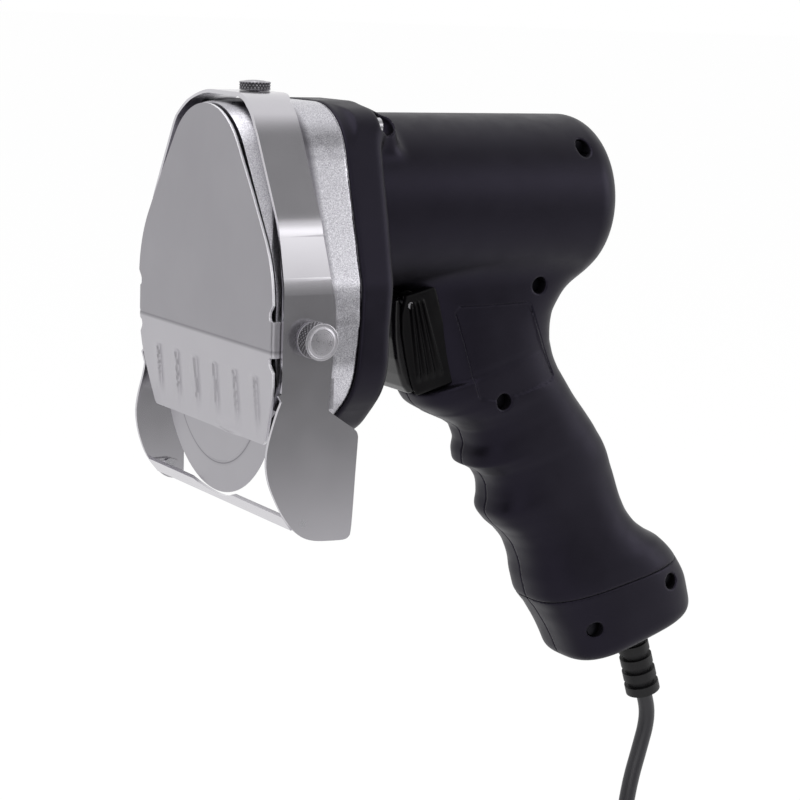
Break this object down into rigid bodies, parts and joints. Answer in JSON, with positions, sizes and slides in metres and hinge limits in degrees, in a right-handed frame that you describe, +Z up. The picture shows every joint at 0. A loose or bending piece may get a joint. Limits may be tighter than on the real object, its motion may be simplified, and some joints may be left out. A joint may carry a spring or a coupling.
{
  "type": "electric kebab slicer",
  "caption": "Hand-held electric kebab slicer: pistol-grip motor body, covered round blade, sliding thickness guide over the head, trigger, mains cord and plug.",
  "frame": {"origin": "middle of the grip, where the hand closes round it", "axes": "-X the way the blade faces, along the motor axis; +Z up; Y across, the two sides being mirror images about y = 0 except for the guide's plates, screws and coil"},
  "size_m": [0.2559, 0.1398, 0.5428],
  "materials": {
    "body_plastic": "moulded, satin gloss",
    "cast_alloy": "die cast, satin",
    "cover_steel": "brushed sheet",
    "blade_steel": "ground, bright",
    "bearing_steel": "ground",
    "dark_steel": "blackened",
    "bright_steel": "zinc plated",
    "knurled_steel": "nickel plated, knurled",
    "core_steel": "laminated",
    "copper": "enamelled copper",
    "brass": "machined",
    "carbon": "pressed carbon",
    "inner_plastic": "moulded",
    "lead_plastic": "insulated lead",
    "rubber": "moulded, matte",
    "trigger_plastic": "moulded, gloss"
  },
  "bodies": {
    "handle": {"housing_left": "body_plastic", "housing_right": "body_plastic", "cap_left": "body_plastic", "cap_right": "body_plastic", "gear_housing": "cast_alloy", "front_cover": "cover_steel", "bearing_plate": "cast_alloy", "spindle_bearings": "bearing_steel", "idler_pin": "bearing_steel", "body_screws": "dark_steel", "cap_screws": "dark_steel", "gearbox_screws": "bright_steel", "field_core": "core_steel", "field_coils": "copper", "motor_bearings": "bearing_steel", "brush_carrier": "inner_plastic", "brush_holders": "brass", "carbon_brushes": "carbon", "switch_body": "inner_plastic", "trigger_pin": "bright_steel", "trigger_guard": "rubber", "cord_clamp": "inner_plastic", "clamp_screws": "bright_steel", "inner_leads": "lead_plastic", "cord_end": "rubber", "bend_sleeve": "rubber", "cord": "rubber", "cord_coil": "rubber", "coil_tie": "rubber", "plug_body": "rubber", "plug_pins": "bright_steel"},
    "spindle": {"blade": "blade_steel", "blade_nut": "bright_steel", "blade_spindle": "bearing_steel", "blade_gear": "brass"},
    "idler": {"idler_gear": "brass"},
    "rotor": {"armature": "core_steel", "armature_windings": "copper", "commutator": "copper", "motor_pinion": "bearing_steel", "cooling_fan": "inner_plastic"},
    "guide": {"guide_strap": "cover_steel", "guide_bar": "cover_steel", "bar_rivets": "bright_steel"},
    "top_screw": {"thumbscrew_top": "knurled_steel"},
    "left_screw": {"thumbscrew_left": "knurled_steel"},
    "right_screw": {"thumbscrew_right": "knurled_steel"},
    "trigger": {"trigger": "trigger_plastic"}
  },
  "joints": [
    {"name": "blade_spin", "type": "hinge", "parent": "handle", "child": "spindle", "pos_m": [-0.164, 0, 0.051], "axis": [-1, 0, 0], "continuous": true},
    {"name": "idler_spin", "type": "hinge", "parent": "handle", "child": "idler", "pos_m": [-0.164, 0, 0.079], "axis": [-1, 0, 0], "continuous": true},
    {"name": "motor_spin", "type": "hinge", "parent": "handle", "child": "rotor", "pos_m": [-0.164, 0, 0.12], "axis": [-1, 0, 0], "continuous": true},
    {"name": "guide_slide", "type": "slide", "parent": "handle", "child": "guide", "axis": [1, 0, 0], "range_m": [-0.004, 0.004]},
    {"name": "top_screw_turn", "type": "hinge", "parent": "handle", "child": "top_screw", "pos_m": [-0.15, 0, 0.1653], "axis": [0, 0, 1], "range_deg": [0, 360]},
    {"name": "left_screw_turn", "type": "hinge", "parent": "handle", "child": "left_screw", "pos_m": [-0.1549, -0.0624, 0.0725], "axis": [0, -1, 0], "range_deg": [0, 360]},
    {"name": "right_screw_turn", "type": "hinge", "parent": "handle", "child": "right_screw", "pos_m": [-0.1549, 0.0624, 0.0725], "axis": [0, 1, 0], "range_deg": [0, 360]},
    {"name": "trigger_pull", "type": "hinge", "parent": "handle", "child": "trigger", "pos_m": [-0.08091, 0, 0.07655], "axis": [0, -1, 0], "range_deg": [0, 7], "stiffness_Nm_per_rad": 1.2, "springref_deg": -2.86}
  ],
  "couplings": [
    {"joint": "blade_spin", "follows": "motor_spin", "ratio": 0.095238},
    {"joint": "idler_spin", "follows": "motor_spin", "ratio": -0.17143}
  ]
}
